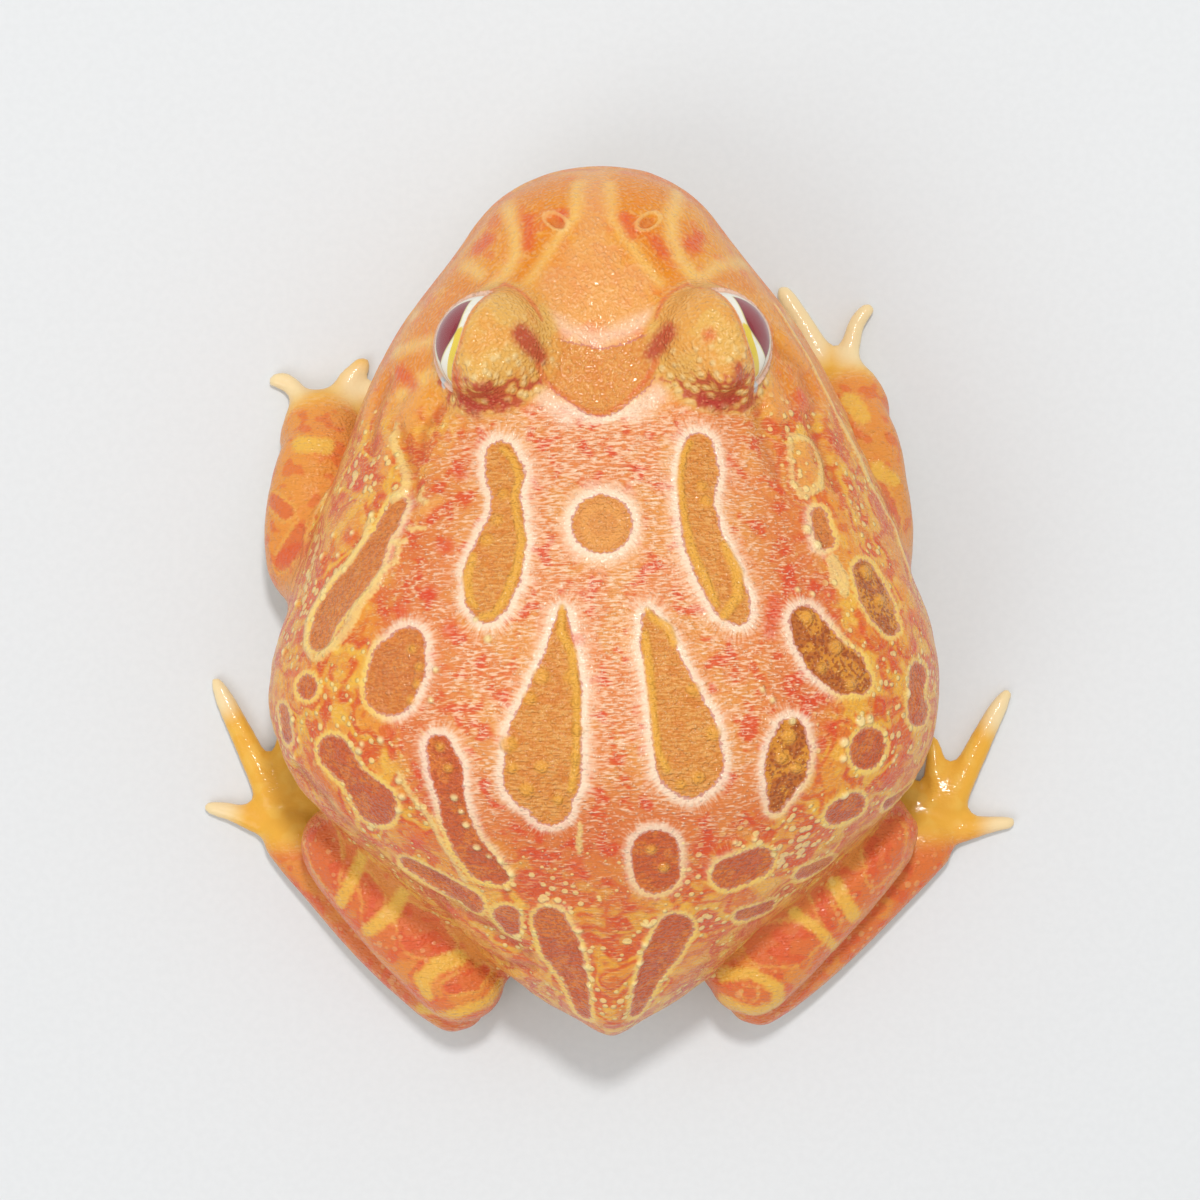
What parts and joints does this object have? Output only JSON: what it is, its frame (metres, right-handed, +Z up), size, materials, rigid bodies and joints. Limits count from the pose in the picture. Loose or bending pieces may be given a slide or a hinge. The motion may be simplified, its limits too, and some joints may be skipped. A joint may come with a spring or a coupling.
{
  "type": "argentine horned frog",
  "caption": "Life-size still model of an argentine horned frog, squatting with folded legs and raised eyes over a wide closed mouth; it rests on belly, hands and feet.",
  "frame": {"origin": "on the floor, under the middle of the outline's box", "axes": "+Z up, the frog faces -Y, its own left side is +X"},
  "size_m": [0.0888, 0.093, 0.0396],
  "materials": {
    "skin_head": "moist satin skin, orange with yellow bands",
    "skin_back": "moist satin skin, cream and pink-orange with ochre patches",
    "skin_limb": "moist satin skin, orange-red with yellow bands",
    "skin_toe": "moist thin skin, yellow-orange",
    "eye": "glossy, clear over a pale iris"
  },
  "bodies": {
    "root": {"torso": "skin_back", "head": "skin_head", "lower_jaw": "skin_head", "eye_left": "eye", "upper_lid_left": "skin_head", "lower_lid_left": "skin_head", "eye_right": "eye", "upper_lid_right": "skin_head", "lower_lid_right": "skin_head", "upper_arm_left": "skin_limb", "forearm_left": "skin_limb", "hand_left": "skin_toe", "upper_arm_right": "skin_limb", "forearm_right": "skin_limb", "hand_right": "skin_toe", "thigh_left": "skin_limb", "shank_left": "skin_limb", "foot_left": "skin_toe", "thigh_right": "skin_limb", "shank_right": "skin_limb", "foot_right": "skin_toe"}
  },
  "joints": []
}
